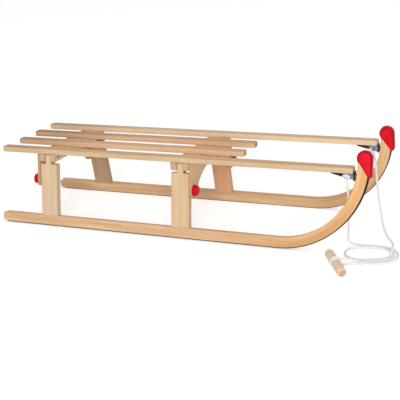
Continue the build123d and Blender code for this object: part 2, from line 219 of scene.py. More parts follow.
def tint(tree, blend, share, first, second):
    """Two colours mixed, or one multiplied by the other."""
    mix = node(tree, "Mix", data_type="RGBA", blend_type=blend)
    put(tree, mix.inputs[0], share)
    put(tree, mix.inputs[6], first)
    put(tree, mix.inputs[7], second)
    return mix.outputs[2]


def shaded(tree, colour, share, shade):
    """A colour multiplied by a shade, as far as a share goes."""
    return tint(tree, "MULTIPLY", share, colour, (*shade, 1))


def product(tree, first, *others):
    """Shader values multiplied together."""
    for other in others:
        first = maths(tree, "MULTIPLY", first, other)
    return first


def ramp(tree, value, low, high, start=0.0, end=1.0):
    """A value's range low to high laid smoothly onto start to end."""
    ranges = {0: value, 1: low, 2: high, 3: start, 4: end}
    return node(tree, "MapRange", ranges, interpolation_type="SMOOTHSTEP").outputs[0]


def object_place(tree):
    """The place on the sled, in metres."""
    return node(tree, "TexCoord").outputs["Object"]


def noise(tree, place, scale, detail, roughness=0.5):
    """Cloudy noise from 0 to 1."""
    inputs = {"Vector": place, "Scale": scale, "Detail": detail, "Roughness": roughness}
    return node(tree, "TexNoise", inputs).outputs[0]


def shader_group(name, inputs, outputs):
    """An empty node group with its sockets: inputs as (name, type, value), outputs as (name, type)."""
    tree = bpy.data.node_groups.new(name, "ShaderNodeTree")
    for label, kind, value in inputs:
        socket = tree.interface.new_socket(label, in_out="INPUT", socket_type="NodeSocket" + kind)
        socket.default_value = value
    for label, kind in outputs:
        tree.interface.new_socket(label, in_out="OUTPUT", socket_type="NodeSocket" + kind)
    return tree, tree.nodes.new("NodeGroupInput").outputs, tree.nodes.new("NodeGroupOutput").inputs


def placed(tree, group, inputs):
    """A node group set into a material, with its inputs by name."""
    made = node(tree, "Group", node_tree=group)
    for label, value in inputs.items():
        put(tree, made.inputs[label], value)
    return made.outputs


def new_material(name, **constants):
    """A material with its shader's own constant values set."""
    material = bpy.data.materials.new(name)
    material.use_nodes = True
    tree = material.node_tree
    shader = tree.nodes["Principled BSDF"]
    for label, value in constants.items():
        shader.inputs[label.replace("_", " ")].default_value = value
    return material, tree, shader


def bumped(tree, height, depth, strength=1.0):
    """A normal raised by a height map whose full range is depth, in metres."""
    return node(tree, "Bump", {"Height": height, "Distance": depth, "Strength": strength}).outputs[0]


# The braid's pattern once more for the shader: strands, the gaps between them and their yarns
yarn_waves = 9.0  # radians of a wave from a strand's middle to its edge, half a turn to a yarn
braid, braid_in, braid_out = shader_group(
    "braid",
    [
        ("Along", "Float", 0.0), ("Turn", "Float", 0.0),
        ("Crossing", "Float", 0.003), ("Strands", "Float", 8.0),
    ],
    [("Height", "Float"), ("Yarns", "Float")],
)
steps_along = maths(braid, "DIVIDE", braid_in["Along"], braid_in["Crossing"])
steps_round = product(braid, braid_in["Turn"], braid_in["Strands"])
first_way = maths(braid, "ADD", steps_round, steps_along)
second_way = maths(braid, "SUBTRACT", steps_round, steps_along)
cell = maths(braid, "ADD", maths(braid, "FLOOR", first_way), maths(braid, "FLOOR", second_way))
first_over = maths(braid, "LESS_THAN", maths(braid, "FLOORED_MODULO", cell, 4.0), 2.0)
over = node(braid, "Mix", {0: first_over, 2: second_way, 3: first_way}, data_type="FLOAT").outputs[0]
across = maths(braid, "MULTIPLY_ADD", maths(braid, "FRACT", over), 2.0, -1.0)
strand_back = maths(braid, "SUBTRACT", 1.0, product(braid, across, across))
put(braid, braid_out["Height"], maths(braid, "SQRT", strand_back))
yarns = maths(braid, "SINE", product(braid, across, yarn_waves))
put(braid, braid_out["Yarns"], maths(braid, "ABSOLUTE", yarns))

# Painted shade: the hollows between the yarns and the gaps between the strands are painted greyer than the
# strands' backs
yarn_white, painted_hollow_shade, painted_gap_shade = (0.97, 0.97, 0.965, 1), (0.93, 0.935, 0.94, 1), (0.88, 0.88, 0.885, 1)
soiled_shade = (0.96, 0.955, 0.94)
weave_depth = 0.00016
rope_white, tree, shader = new_material(
    "white_braid", Roughness=0.75, Sheen_Weight=0.25, Sheen_Roughness=0.4, Specular_IOR_Level=0.3,
    Subsurface_Weight=0.85, Subsurface_Radius=(1, 1, 1), Subsurface_Scale=0.006,
)
map_place = node(tree, "SeparateXYZ", {0: node(tree, "UVMap", uv_map="UVMap").outputs[0]}).outputs
pattern = placed(tree, braid, {
    "Along": map_place[0], "Turn": map_place[1], "Crossing": braid_crossing,
    "Strands": float(braid_strands),
})
soiled = ramp(tree, noise(tree, object_place(tree), 60.0, 4.0), 0.5, 0.8)
strand_white = tint(tree, "MIX", pattern["Yarns"], painted_hollow_shade, yarn_white)
strand_white = shaded(tree, strand_white, soiled, soiled_shade)
on_strand = ramp(tree, pattern["Height"], 0.1, 0.75)
put(tree, shader.inputs["Base Color"], tint(tree, "MIX", on_strand, painted_gap_shade, strand_white))
weave = maths(tree, "MULTIPLY_ADD", pattern["Yarns"], 0.18, pattern["Height"])
put(tree, shader.inputs["Normal"], bumped(tree, weave, weave_depth))

rope_line = smooth_line(rope_route)
rope_mesh = braided_mesh("tow_rope_braid", rope_line, rope_diameter)
tow_rope = shown("tow_rope_braid", rope_mesh, "seat", rope_white)
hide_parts("tow_rope")

# Knots on the rope's ends: the rope goes through the bracket's web and round its lower edge, and an
# overhand knot, pulled tight against the outer face of the web, holds it.
knot_rope_diameter = 0.0056
knot_middle = Vector((0.4862, 0.13645, 0.2013))
knot_turns = [  # forward, outward and up from the knot's middle on the left side
    (-0.0020, 0.0015, -0.0010), (-0.0045, -0.0010, -0.0050), (-0.0015, -0.0040, -0.0095),
    (0.0000, -0.0100, -0.0125), (0.0000, -0.0155, -0.0085), (0.0000, -0.0160, -0.0015),
    (0.0000, -0.0110, 0.0010), (0.0005, -0.0045, 0.0005), (0.0035, -0.0005, 0.0025),
    (0.0070, 0.0015, 0.0020), (0.0080, 0.0010, -0.0025), (0.0040, 0.0005, -0.0040),
    (-0.0020, 0.0025, -0.0015), (-0.0060, 0.0030, 0.0020), (-0.0080, 0.0005, 0.0015),
    (-0.0070, -0.0015, -0.0025), (-0.0030, -0.0010, -0.0035), (0.0010, 0.0015, -0.0010),
    (0.0030, 0.0035, 0.0025), (0.0000, 0.0020, 0.0040), (-0.0040, -0.0005, 0.0040),
]
sled_sides = (("right", -1), ("left", 1))
for side_name, side in sled_sides:
    turns = [
        (knot_middle.x + ahead, side * (knot_middle.y + outward), knot_middle.z + rise)
        for ahead, outward, rise in knot_turns
    ]
    knot_name = f"end_knot_{side_name}"
    knot_mesh = braided_mesh(knot_name, smooth_line(turns), knot_rope_diameter, sides=24, step=0.0008)
    end_knot = shown(knot_name, knot_mesh, "seat", rope_white)
    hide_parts(f"rope_knot_{side_name}")

# Hitch: the rope's further turns in the handle's groove, beside and over the turn that the cord
# itself makes, drawn tight so that they stand a little proud of the wood.
handle_middle = Vector((0.4854, -0.2450, 0.0115))
handle_turn = radians(-60.2)
handle_axis = Vector((cos(handle_turn), sin(handle_turn), 0))
handle_aside = Vector((-sin(handle_turn), cos(handle_turn), 0))
hitch_steps = 27
hitch_step, hitch_start = 30, -80  # in degrees round the handle
crossing_start, crossing_steps = 9, 6  # where the rope crosses over to its outer turns
hitch_reach = 0.0085  # from the handle's axis to the rope's, under the handle
hitch_rise, crossing_rise = 0.0024, 0.0018  # further out on top, and once more after the crossing
hitch_overlap = 0.35  # the rise starts this sine below the handle's middle
hitch_place, crossing_shift = 0.0037, 0.0072  # along the handle
hitch_turns = []
for step in range(hitch_steps):
    turned = radians(hitch_start - hitch_step * step)
    crossed = min(1, max(0, (step - crossing_start) / crossing_steps))
    on_top = max(0, sin(turned) + hitch_overlap) / (1 + hitch_overlap)
    reach = hitch_reach + (hitch_rise + crossing_rise * crossed) * on_top
    around = handle_aside * cos(turned) * reach + Vector((0, 0, sin(turned) * reach))
    along_handle = handle_axis * (hitch_place - crossing_shift * crossed)
    hitch_turns.append(handle_middle + along_handle + around)
hitch_mesh = braided_mesh("handle_hitch", smooth_line(hitch_turns), rope_diameter)
handle_hitch = shown("handle_hitch", hitch_mesh, "seat", rope_white)
[tuple(station) for station in even_steps(rope_line, 0.004)[0]]


# Floor and light: a plain white floor that keeps the sled's shadow, an even pale sky all round, and
# one large soft lamp from in front, as in a studio.
floor_reach, floor_drop = 12, 0.0003  # from the middle to the sides, and down from the bands
floor_grey, floor_glow = 0.75, 0.56
sky_light = 0.55
lamp_place, lamp_aim = Vector((1.9, -5.2, 1.9)), Vector((0, 0, 0.1))
lamp_width, lamp_power = 2.8, 185
plain_floor = bmesh.new()
floor_place = Matrix.Translation((0, 0, -floor_drop))
bmesh.ops.create_grid(plain_floor, x_segments=1, y_segments=1, size=floor_reach, matrix=floor_place)
floor_mesh = bpy.data.meshes.new("floor")
plain_floor.to_mesh(floor_mesh)
plain_floor.free()
studio_floor = bpy.data.objects.new("floor", floor_mesh)
bpy.context.collection.objects.link(studio_floor)


def seen_directly(tree):
    """1 for rays from the camera, and for those that a shiny or clear surface passes on."""
    rays = node(tree, "LightPath").outputs
    shiny = maths(tree, "MAXIMUM", rays["Is Glossy Ray"], rays["Is Transmission Ray"])
    return maths(tree, "MAXIMUM", rays["Is Camera Ray"], shiny)


floor_paint, tree, shader = new_material(
    "floor_paint", Base_Color=(floor_grey, floor_grey, floor_grey, 1), Roughness=0.9,
    Specular_IOR_Level=0.0, Emission_Color=(1, 1, 1, 1),
)
put(tree, shader.inputs["Emission Strength"], product(tree, seen_directly(tree), floor_glow))
floor_mesh.materials.append(floor_paint)

world = bpy.data.worlds.new("studio")
bpy.context.scene.world = world
world.use_nodes = True
tree = world.node_tree
sky_strength = node(tree, "Mix", {0: seen_directly(tree), 2: sky_light, 3: 1.0}, data_type="FLOAT").outputs[0]
put(tree, tree.nodes["Background"].inputs["Strength"], sky_strength)
tree.nodes["Background"].inputs["Color"].default_value = (1, 1, 1, 1)

lamp = bpy.data.objects.new("front_lamp", bpy.data.lights.new("front_lamp", "AREA"))
lamp.data.size = lamp_width
lamp.data.energy = lamp_power
lamp.location = lamp_place
lamp.rotation_euler = (lamp_aim - lamp_place).to_track_quat("-Z", "Y").to_euler()
bpy.context.collection.objects.link(lamp)


# Wood: pale varnished beech. Its growth rings, fine fibres and small dark rays are cut through at
# every surface, so that faces, sides and end grain match. Each piece has its own part of the tree.
rings_per_metre, ring_wander = 350.0, 5.0
ray_strength, ray_shade = 0.6, (0.58, 0.42, 0.3)
# Scales of the grain, along and across
wander_scale, broad_scale, streak_scale = (2.2, 14, 14), (3.5, 60, 60), (9, 300, 300)
fibre_scale, ray_scale = (60, 1900, 1900), (330, 1500, 1500)
beech, beech_in, beech_out = shader_group(
    "beech",
    [
        ("Place", "Vector", (0.0, 0.0, 0.0)), ("Pale", "Color", (1, 1, 1, 1)),
        ("Dark", "Color", (1, 1, 1, 1)), ("Rings", "Float", rings_per_metre),
        ("Ring Strength", "Float", 0.5), ("Streaks", "Float", 0.5), ("Rays", "Float", 0.5),
    ],
    [("Color", "Color"), ("Roughness", "Float"), ("Height", "Float")],
)


def grain_noise(scale, detail, roughness=0.5):
    """Noise drawn out along the grain, with its own scale along and across."""
    stretched = node(beech, "Mapping", {"Vector": beech_in["Place"], "Scale": scale})
    return noise(beech, stretched.outputs[0], 1.0, detail, roughness)


def distance(tree, first, second):
    """How far a place is from a line, by its two distances square to that line."""
    squares = maths(tree, "ADD", product(tree, first, first), product(tree, second, second))
    return maths(tree, "SQRT", squares)


parts = node(beech, "SeparateXYZ", {0: beech_in["Place"]}).outputs
rings = product(beech, distance(beech, parts[1], parts[2]), beech_in["Rings"])
wandering = product(beech, grain_noise(wander_scale, 2.0), ring_wander)
in_ring = maths(beech, "FRACT", maths(beech, "ADD", rings, wandering))
late_wood = product(beech, ramp(beech, in_ring, 0.25, 0.9), ramp(beech, in_ring, 1.0, 0.93))
broad = ramp(beech, grain_noise(broad_scale, 3.0), 0.3, 0.7)
streak = ramp(beech, grain_noise(streak_scale, 4.0, 0.6), 0.3, 0.72)
fibre = grain_noise(fibre_scale, 3.0, 0.6)
ray = product(beech, ramp(beech, grain_noise(ray_scale, 1.0), 0.66, 0.74), beech_in["Rays"])
ring_share = product(beech, late_wood, beech_in["Ring Strength"])
streaked = maths(beech, "MULTIPLY_ADD", broad, 0.55, product(beech, streak, 0.45))
streak_share = product(beech, streaked, beech_in["Streaks"])
darker = node(beech, "Clamp", {0: maths(beech, "ADD", ring_share, streak_share)}).outputs[0]
wood_colour = tint(beech, "MIX", darker, beech_in["Pale"], beech_in["Dark"])
fibre_tone = ramp(beech, fibre, 0.3, 0.7, 0.93, 1.05)
fibre_grey = node(beech, "CombineColor", {0: fibre_tone, 1: fibre_tone, 2: fibre_tone}).outputs[0]
wood_colour = tint(beech, "MULTIPLY", 1.0, wood_colour, fibre_grey)
put(beech, beech_out["Color"], shaded(beech, wood_colour, ray, ray_shade))
put(beech, beech_out["Roughness"], maths(beech, "MULTIPLY_ADD", fibre, 0.16, 0.34))
raised = maths(beech, "MULTIPLY_ADD", late_wood, 0.35, fibre)
put(beech, beech_out["Height"], maths(beech, "SUBTRACT", raised, product(beech, ray, 0.6)))


def alignment(tree, direction, axis):
    """How far a direction points along an axis, from -1 to 1."""
    return node(tree, "VectorMath", {0: direction, 1: axis}, operation="DOT_PRODUCT").outputs["Value"]


# Rounded edges, where varnish is rubbed thin: found by comparing the face's direction with that of
# its surroundings within a small radius
edge_wear, wear_in, wear_out = shader_group("edge_wear", [("Radius", "Float", 0.0015)], [("Edge", "Float")])
rounded = node(edge_wear, "Bevel", {"Radius": wear_in["Radius"]}, samples=6).outputs[0]
true_face = node(edge_wear, "NewGeometry").outputs["True Normal"]
put(edge_wear, wear_out["Edge"], ramp(edge_wear, alignment(edge_wear, rounded, true_face), 0.98, 0.75))

wood_edge_radius, joint_shadow_radius, crevice_reach, grain_depth = 0.0014, 0.0035, 0.006, 0.00008
end_grain_shade, worn_edge_shade = (0.68, 0.55, 0.47), (0.86, 0.78, 0.7)
# Painted shade and light: shade in the crevices, shadow round the gaps at the leg joints, shade on the rear's
# upper faces and light higher up in the horn
crevice_painted_shade, joint_painted_shadow = (0.22, 0.14, 0.09), (0.26, 0.17, 0.11)
painted_rear_top_shade, painted_horn_light = (0.78, 0.76, 0.68), (1.17, 1.15, 1.10)
# Where these shades begin and are full: up, out from the sled's middle, and forward
joint_height, joint_side = (0.174, 0.182), (0.108, 0.116)
painted_rear_shade_range, painted_rear_top_range, horn_range, painted_light_height = (-0.25, -0.48), (-0.2, -0.5), (0.05, 0.4), (0.03, 0.15)


def beech_material(
    name, pale, dark, heart, along, top_painted_shade=None, rear=None, horn=None, ends=0.7, ring_strength=0.5,
    streaks=0.85, joint_shadow=0.0, bent=None,
):
    """Varnished beech whose grain runs along a direction, with the tree's heart at a place.

    Its upper faces and its rear end are darkened by top_painted_shade and rear, both painted shade, and the
    wood up in the horn is tinted by horn and painted lighter higher up. Its end grain is darker by the share
    ends, and painted shadow darkens the edges round the gaps at the leg joints by the share joint_shadow.
    """
    material, tree, shader = new_material(name, Coat_Weight=0.05, Coat_Roughness=0.3, Specular_IOR_Level=0.12)
    place = object_place(tree)
    facing = node(tree, "TexCoord").outputs["Normal"]
    along = Vector(along).normalized()
    across = along.cross(Vector((0.13, 0.27, 1))).normalized()
    turned = Matrix((along, across, along.cross(across))).transposed().to_euler()
    grain_place = {"Vector": bent(tree, place) if bent else place, "Location": heart, "Rotation": turned}
    wood = placed(tree, beech, {
        "Place": node(tree, "Mapping", grain_place, vector_type="TEXTURE").outputs[0],
        "Pale": (*pale, 1), "Dark": (*dark, 1), "Rings": rings_per_metre,
        "Ring Strength": ring_strength, "Streaks": streaks, "Rays": ray_strength,
    })
    end_grain = ramp(tree, maths(tree, "ABSOLUTE", alignment(tree, facing, along)), 0.55, 0.95)
    colour = shaded(tree, wood["Color"], product(tree, end_grain, ends), end_grain_shade)
    upward = ramp(tree, node(tree, "SeparateXYZ", {0: facing}).outputs[2], 0.5, 0.9)
    forward, leftward, height = node(tree, "SeparateXYZ", {0: place}).outputs
    # Painted shade: upward faces are darkened by top_painted_shade, as they are lit less than the sides
    if top_painted_shade:
        colour = shaded(tree, colour, upward, top_painted_shade)
    # Painted shadow: the edges round the gaps where the legs' tongues sit in the beams' slots are darkened,
    # as if in shade
    if joint_shadow:
        joint_gap_edge = placed(tree, edge_wear, {"Radius": joint_shadow_radius})["Edge"]
        by_leg = ramp(tree, maths(tree, "ABSOLUTE", leftward), *joint_side)
        joint_shadow_share = product(tree, joint_gap_edge, ramp(tree, height, *joint_height), by_leg, joint_shadow)
        colour = shaded(tree, colour, joint_shadow_share, joint_painted_shadow)
    # Painted shade: the wood darkens towards the rear end by rear, and its upper faces there more, as the
    # light falls off
    if rear:
        colour = shaded(tree, colour, ramp(tree, forward, *painted_rear_shade_range), rear)
        painted_rear_top_share = product(tree, ramp(tree, forward, *painted_rear_top_range), upward)
        colour = shaded(tree, colour, painted_rear_top_share, painted_rear_top_shade)
    if horn:
        colour = shaded(tree, colour, ramp(tree, forward, *horn_range), horn)
        # Painted light: the wood in the horn is painted lighter higher up, as if lit there
        colour = shaded(tree, colour, ramp(tree, height, *painted_light_height), painted_horn_light)
    edge = placed(tree, edge_wear, {"Radius": wood_edge_radius})["Edge"]
    colour = shaded(tree, colour, product(tree, edge, 0.5), worn_edge_shade)
    # Painted shade: crevices and the contacts between parts are darkened by ambient occlusion
    crevice = node(tree, "AmbientOcclusion", {"Distance": crevice_reach}, samples=8).outputs["AO"]
    colour = shaded(tree, colour, ramp(tree, crevice, 0.55, 0.1), crevice_painted_shade)
    put(tree, shader.inputs["Base Color"], colour)
    put(tree, shader.inputs["Roughness"], maths(tree, "MULTIPLY_ADD", edge, 0.12, wood["Roughness"]))
    put(tree, shader.inputs["Normal"], bumped(tree, wood["Height"], grain_depth, 0.8))
    return material


def dress(node_name, material):
    """Give a CAD node its finish in every slot."""
    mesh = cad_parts[node_name].data
    if not mesh.materials:
        mesh.materials.append(material)
    for place in range(len(mesh.materials)):
        mesh.materials[place] = material


# Seat slats: four beech strips, planed and rounded at their edges and corners. The outer ones run
# forward to the horns; the inner ones are shorter. They are screwed to the crossbeams from below.
# Each slat's top_painted_shade and rear colours are painted shade, on its upper faces and towards its rear
# end
slat_woods = {
    "slat_outer_right": {
        "pale": (0.80, 0.600, 0.385), "dark": (0.64, 0.430, 0.240), "heart": (0.1, -0.150, 0.10),
        "top_painted_shade": (0.98, 0.86, 0.75), "rear": (0.97, 0.97, 0.93),
    },
    "slat_inner_right": {
        "pale": (0.89, 0.600, 0.375), "dark": (0.73, 0.445, 0.250), "heart": (0.0, -0.020, 0.15),
        "top_painted_shade": (0.92, 0.85, 0.80), "rear": (0.82, 0.80, 0.78),
    },
    "slat_inner_left": {
        "pale": (0.83, 0.550, 0.335), "dark": (0.68, 0.400, 0.220), "heart": (0.2, 0.070, 0.12),
        "top_painted_shade": (0.80, 0.74, 0.70), "rear": (0.76, 0.72, 0.66),
    },
    "slat_outer_left": {
        "pale": (0.94, 0.720, 0.475), "dark": (0.76, 0.530, 0.310), "heart": (-0.1, 0.090, 0.13),
        "top_painted_shade": (0.84, 0.82, 0.81), "rear": (0.85, 0.83, 0.80),
    },
}
for slat_name, wood in slat_woods.items():
    slat_along = (1, 0.15 * wood["heart"][1], 0.01)  # a little askew, each in its own way
    dress(slat_name, beech_material(f"beech_{slat_name}", along=slat_along, **wood))

# Crossbeams and arched bridge boards: solid beech across the sled, the boards glued and screwed to
# the beams' outer faces, with the slots for the legs cut in the beams' ends.
for place_name, heart_x in (("rear", -0.50), ("front", 0.12)):
    beam_wood = beech_material(
        f"beech_beam_{place_name}", pale=(0.93, 0.72, 0.49), dark=(0.78, 0.545, 0.34),
        heart=(heart_x, 0, 0.12), along=(0.01, 1, 0.012), joint_shadow=0.9,
    )
    board_wood = beech_material(
        f"beech_board_{place_name}", pale=(0.83, 0.595, 0.37), dark=(0.68, 0.445, 0.25),
        heart=(heart_x, 0.05, 0.22), along=(0.008, 1, -0.01),
    )
    dress(f"crossbeam_{place_name}", beam_wood)
    dress(f"bridge_board_{place_name}", board_wood)

# Legs: upright beech posts with a rounded tongue that turns on the hinge bolt. Their grain runs up
# and down, and they lean outward to the runners.
lean = radians(9.8)
# Painted shade: the left legs, on the far side under the slats, are given darker and redder colours, the rear
# one darkest
leg_colours_with_painted_shade = {
    ("rear", "right"): ((0.800, 0.620, 0.430), (0.685, 0.480, 0.295)),
    ("front", "right"): ((0.800, 0.580, 0.370), (0.680, 0.450, 0.255)),
    ("rear", "left"): ((0.600, 0.400, 0.255), (0.48, 0.300, 0.175)),
    ("front", "left"): ((0.840, 0.500, 0.285), (0.705, 0.380, 0.190)),
}
for side_name, side in sled_sides:
    leg_along = (0.006, -side * sin(lean), cos(lean))
    for place_name, leg_x in (("rear", -0.38), ("front", 0.03)):
        pale, dark = leg_colours_with_painted_shade[place_name, side_name]
        leg_wood = beech_material(
            f"beech_leg_{place_name}_{side_name}", pale, dark,
            heart=(leg_x + 0.05 * side, side * 0.22, 0.05), along=leg_along, ring_strength=0.3, joint_shadow=0.9,
        )
        dress(f"leg_{place_name}_{side_name}", leg_wood)

# Runners: one beech bar each, steamed and bent up into the horn, so the grain follows the bend. The
# legs stand on them, and the horns turn on the bolts of the brackets.
bend_x, bend_z, bend_radius = 0.308, 0.0359, 0.22  # its centre, forward and up from the hinge line
horn_tints = {"right": (0.96, 0.88, 0.75), "left": (0.956, 0.92, 0.833)}
grain_bend, bend_in, bend_out = shader_group(
    "grain_bend",
    [("Place", "Vector", (0.0, 0.0, 0.0)), ("Bend X", "Float", bend_x), ("Bend Z", "Float", bend_z)],
    [("Place", "Vector")],
)
parts = node(grain_bend, "SeparateXYZ", {0: bend_in["Place"]}).outputs
forward = maths(grain_bend, "SUBTRACT", parts[0], bend_in["Bend X"])
below = maths(grain_bend, "SUBTRACT", bend_in["Bend Z"], parts[2])
forward_in_bend = maths(grain_bend, "MAXIMUM", forward, 0.0)
below_in_bend = maths(grain_bend, "MAXIMUM", below, 0.0)
from_bend = distance(grain_bend, forward_in_bend, below_in_bend)
bend_turn = maths(grain_bend, "ARCTAN2", forward_in_bend, below_in_bend)
behind_bend = maths(grain_bend, "MINIMUM", forward, 0.0)
above_bend = maths(grain_bend, "MINIMUM", below, 0.0)
straight = maths(grain_bend, "SUBTRACT", behind_bend, above_bend)
along_bar = maths(grain_bend, "ADD", product(grain_bend, bend_turn, bend_radius), straight)
bar_place = node(grain_bend, "CombineXYZ", {0: along_bar, 1: parts[1], 2: from_bend}).outputs[0]
put(grain_bend, bend_out["Place"], bar_place)


def span(node_name, axis):
    """Where a CAD node begins and ends: forward for axis 0, leftward for 1 and upward for 2."""
    places = [vertex.co[axis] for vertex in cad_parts[node_name].data.vertices]
    return min(places), max(places)


hinge_y = sum(span("slat_outer_left", 1)) / 2  # under the middle of each outer slat
hinge_z = sum(span("crossbeam_front", 2)) / 2  # and halfway up the crossbeams


def bent_grain(side):
    """The grain's place in the runner of one side, from the leaning frame's own upright axes."""
    def bend(tree, place):
        hinge_axes = {"Location": (0, side * hinge_y, hinge_z), "Rotation": (side * lean, 0, 0)}
        on_frame = node(tree, "Mapping", {"Vector": place, **hinge_axes}, vector_type="TEXTURE").outputs[0]
        return placed(tree, grain_bend, {"Place": on_frame, "Bend X": bend_x, "Bend Z": bend_z})["Place"]
    return bend


for side_name, side in sled_sides:
    runner_wood = beech_material(
        f"beech_runner_{side_name}", pale=(0.885, 0.627, 0.400), dark=(0.655, 0.387, 0.195),
        heart=(0.0, side * 0.05, 0.29), along=(1, 0.008 * side, 0.012), horn=horn_tints[side_name],
        streaks=1.0, bent=bent_grain(side),
    )
    dress(f"runner_{side_name}", runner_wood)

# Pull handle: a turned beech dowel, sanded smooth, with a groove round its middle. The rope's turns
# are drawn tight in the groove, and nothing else holds it.
# Its end grain is darkened in full: the wood's own darker end grain, and painted shade on the ends, which
# face the lamp
handle_wood = beech_material(
    "beech_handle", pale=(0.99, 0.78, 0.58), dark=(0.90, 0.66, 0.465), heart=(0.485, -0.252, 0.03),
    along=(*handle_axis.xy, 0.01), ends=1.0,
)
dress("pull_handle", handle_wood)


# Steel: zinc-plated brackets, bolts, pins and screws, and the runners' darker hardened bands, brushed
# along their length and scratched from use.
metal, metal_in, metal_out = shader_group(
    "worked_metal",
    [
        ("Place", "Vector", (0.0, 0.0, 0.0)), ("Clean", "Color", (1, 1, 1, 1)),
        ("Dull", "Color", (1, 1, 1, 1)), ("Base Roughness", "Float", 0.4),
    ],
    [("Color", "Color"), ("Roughness", "Float"), ("Height", "Float")],
)
brushing_scale, brushing_depth = (30, 2600, 2600), 0.00003
brushed_place = node(metal, "Mapping", {"Vector": metal_in["Place"], "Scale": brushing_scale}).outputs[0]
brushed = noise(metal, brushed_place, 1.0, 3.0)
dull_share = ramp(metal, noise(metal, metal_in["Place"], 120.0, 5.0, 0.6), 0.35, 0.68)
put(metal, metal_out["Color"], tint(metal, "MIX", dull_share, metal_in["Clean"], metal_in["Dull"]))
rougher = maths(metal, "MULTIPLY_ADD", dull_share, 0.14, metal_in["Base Roughness"])
put(metal, metal_out["Roughness"], maths(metal, "MULTIPLY_ADD", brushed, 0.12, rougher))
put(metal, metal_out["Height"], brushed)


def metal_material(name, clean, dull, worn, roughness=0.4, metallic=1.0, specular=0.25):
    """Bare or plated steel with mottled colour and fine brushing."""
    material, tree, shader = new_material(name, Metallic=metallic, Specular_IOR_Level=specular)
    steel = placed(tree, metal, {
        "Place": object_place(tree), "Clean": (*clean, 1), "Dull": (*dull, 1), "Base Roughness": roughness,
    })
    edge = placed(tree, edge_wear, {"Radius": 0.0005})["Edge"]
    colour = tint(tree, "MIX", product(tree, edge, 0.4), steel["Color"], (*worn, 1))
    put(tree, shader.inputs["Base Color"], colour)
    put(tree, shader.inputs["Roughness"], steel["Roughness"])
    put(tree, shader.inputs["Normal"], bumped(tree, steel["Height"], brushing_depth))
    return material


zinc_steel = metal_material("zinc_steel", (0.20, 0.235, 0.28), (0.10, 0.115, 0.14), (0.42, 0.44, 0.47))
band_steel = metal_material(
    "band_steel", (0.014, 0.010, 0.008), (0.008, 0.006, 0.005), (0.03, 0.024, 0.02),
    roughness=0.6, metallic=0.0, specular=0.04,
)
for side_name in ("right", "left"):
    dress(f"runner_band_{side_name}", band_steel)
    dress(f"horn_bolt_{side_name}", zinc_steel)
    for place_name in ("rear", "front"):
        dress(f"hinge_pin_{place_name}_{side_name}", zinc_steel)

# Horn brackets: a flange screwed under the slat's end, a web below it that holds the rope's knot and
# a plate across the slat's end that carries the horn's bolt. Sheet steel, welded and plated.
slat_underside = span("slat_outer_left", 2)[0]
bracket_rear, bracket_front = 0.447, 0.5055
sheet, web_sheet = 0.0022, 0.0025
bracket_half_width, plate_half_width = 0.0125, 0.0105
web_rear_depth, bracket_depth = 0.007, 0.021  # both from the slat's underside
flange_underside, bracket_bottom = slat_underside - sheet, slat_underside - bracket_depth
plate_top = 0.2125
bracket_rounding = 0.0005
bracket_steel = metal_material("bracket_steel", (0.24, 0.28, 0.34), (0.13, 0.15, 0.18), (0.42, 0.44, 0.47))

# Painted shadow: the plated colour lasts between these two ranges along the sled, and the bracket behind the
# first and the plate in front of the second are painted dark as shade
rear_shadow_fade, front_shadow_fade = (0.472, 0.486), (0.5052, 0.5046)
bracket_painted_shadow = (0.035, 0.026, 0.021, 1)
tree = bracket_steel.node_tree
base_colour = tree.nodes["Principled BSDF"].inputs["Base Color"]
plated = base_colour.links[0].from_socket
along_sled = node(tree, "SeparateXYZ", {0: object_place(tree)}).outputs[0]
unshadowed = product(tree, ramp(tree, along_sled, *rear_shadow_fade), ramp(tree, along_sled, *front_shadow_fade))
put(tree, base_colour, tint(tree, "MIX", maths(tree, "SUBTRACT", 1.0, unshadowed), plated, bracket_painted_shadow))


def add_box(shape, x_range, y, half_width, z_range):
    """A box added to a shape, with its corners given back."""
    middle = Vector((sum(x_range) / 2, y, sum(z_range) / 2))
    size = Vector((x_range[1] - x_range[0], 2 * half_width, z_range[1] - z_range[0], 1))
    place = Matrix.Translation(middle) @ Matrix.Diagonal(size)
    return bmesh.ops.create_cube(shape, size=1, matrix=place)["verts"]


def rounded_mesh(name, shape, bevel=0):
    """A mesh from a finished shape with its edges bevelled, shaded smooth across the soft ones."""
    if bevel:
        edges = shape.edges[:]
        bmesh.ops.bevel(
            shape, geom=edges, offset=bevel, segments=2, profile=0.5, affect="EDGES", material=-1,
        )
    bmesh.ops.remove_doubles(shape, verts=shape.verts, dist=1e-6)
    bmesh.ops.recalc_face_normals(shape, faces=shape.faces)
    for face in shape.faces:
        face.smooth = True
    for edge in shape.edges:
        edge.smooth = edge.calc_face_angle(0) < radians(40)
    mesh = bpy.data.meshes.new(name)
    shape.to_mesh(mesh)
    shape.free()
    return mesh


for side_name, side in sled_sides:
    shape = bmesh.new()
    y = side * hinge_y
    add_box(shape, (bracket_rear, bracket_front), y, bracket_half_width, (flange_underside, slat_underside))
    web = add_box(shape, (bracket_rear, bracket_front), y, web_sheet / 2, (bracket_bottom, flange_underside))
    for corner in web:
        if corner.co.x < bracket_front - sheet and corner.co.z < flange_underside - sheet:
            corner.co.z = slat_underside - web_rear_depth
    add_box(shape, (bracket_front, bracket_front + sheet), y, plate_half_width, (bracket_bottom, plate_top))
    bracket_name = f"bracket_sheet_{side_name}"
    bracket_mesh = rounded_mesh(bracket_name, shape, bracket_rounding)
    bracket = shown(bracket_name, bracket_mesh, "seat", bracket_steel)
    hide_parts(f"horn_bracket_{side_name}")

